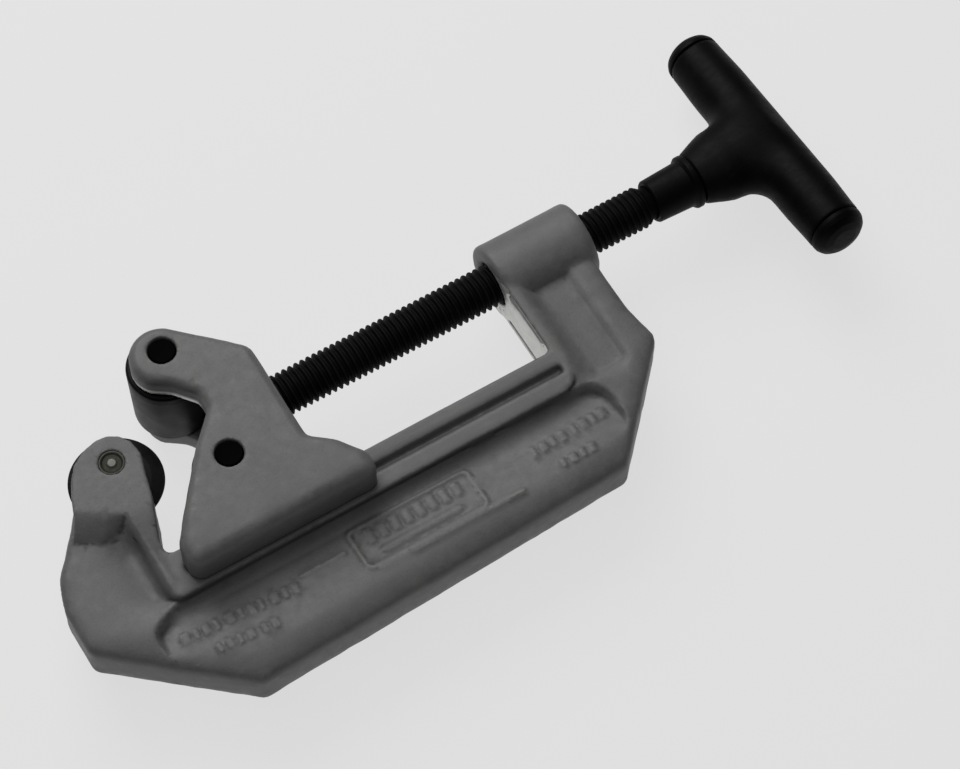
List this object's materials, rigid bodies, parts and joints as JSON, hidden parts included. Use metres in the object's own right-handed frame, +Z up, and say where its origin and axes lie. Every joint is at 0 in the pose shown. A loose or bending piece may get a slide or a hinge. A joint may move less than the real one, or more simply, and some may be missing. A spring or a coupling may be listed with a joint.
{
  "type": "pipe cutter",
  "caption": "Screw-feed pipe cutter with a C-shaped frame, a forked cutting wheel, a sliding roller carriage and a T-handle on the feed screw.",
  "frame": {"origin": "centre of the bounding box's bottom face; the tool lies on its back face on z = 0", "axes": "+X along the feed screw from the cutting wheel towards the T-handle, +Y from the beam of the frame towards the screw, +Z up out of the side that faces the viewer"},
  "size_m": [0.2536, 0.1168, 0.0426],
  "materials": {
    "casting_paint": "satin grey paint on a sand casting",
    "roller_steel": "turned, lightly oiled",
    "black_steel": "black oxide",
    "wheel_steel": "hardened, dark ground steel",
    "bright_steel": "ground",
    "black_moulding": "fine satin"
  },
  "bodies": {
    "frame_body": {"frame": "casting_paint", "wheel_pin": "bright_steel", "wheel_pin_clip": "black_steel", "wheel_washer_front": "bright_steel", "wheel_washer_back": "bright_steel"},
    "wheel_body": {"cutter_wheel": "wheel_steel"},
    "carriage_body": {"slide_housing": "casting_paint", "roller_pin_upper": "black_steel", "roller_pin_lower": "black_steel", "thrust_ball": "bright_steel", "screw_keeper_pin_a": "black_steel", "screw_keeper_pin_b": "black_steel"},
    "roller_upper_body": {"roller_upper": "roller_steel"},
    "roller_lower_body": {"roller_lower": "roller_steel"},
    "screw_body": {"feed_screw": "black_steel", "neck_collar": "black_moulding", "handle_grip": "black_moulding", "handle_core_bar": "bright_steel", "handle_cross_pin": "black_steel", "handle_cap_far": "black_moulding", "handle_cap_near": "black_moulding"}
  },
  "joints": [
    {"name": "wheel_spin", "type": "hinge", "parent": "frame_body", "child": "wheel_body", "pos_m": [-0.09596, 0.01637, 0.0213], "axis": [0, 0, 1], "continuous": true},
    {"name": "carriage_slide", "type": "slide", "parent": "frame_body", "child": "carriage_body", "axis": [1, 0, 0], "range_m": [-0.00195, 0.05666]},
    {"name": "roller_upper_spin", "type": "hinge", "parent": "carriage_body", "child": "roller_upper_body", "pos_m": [-0.06936, 0.03537, 0.0213], "axis": [0, 0, 1], "continuous": true},
    {"name": "roller_lower_spin", "type": "hinge", "parent": "carriage_body", "child": "roller_lower_body", "pos_m": [-0.06846, -0.00153, 0.0213], "axis": [0, 0, 1], "continuous": true},
    {"name": "screw_turn", "type": "hinge", "parent": "carriage_body", "child": "screw_body", "pos_m": [-0.00806, 0.01637, 0.0213], "axis": [1, 0, 0], "range_deg": [-360, 10440]}
  ],
  "couplings": [
    {"joint": "screw_turn", "follows": "carriage_slide", "rad_per_m": 3215.8}
  ]
}
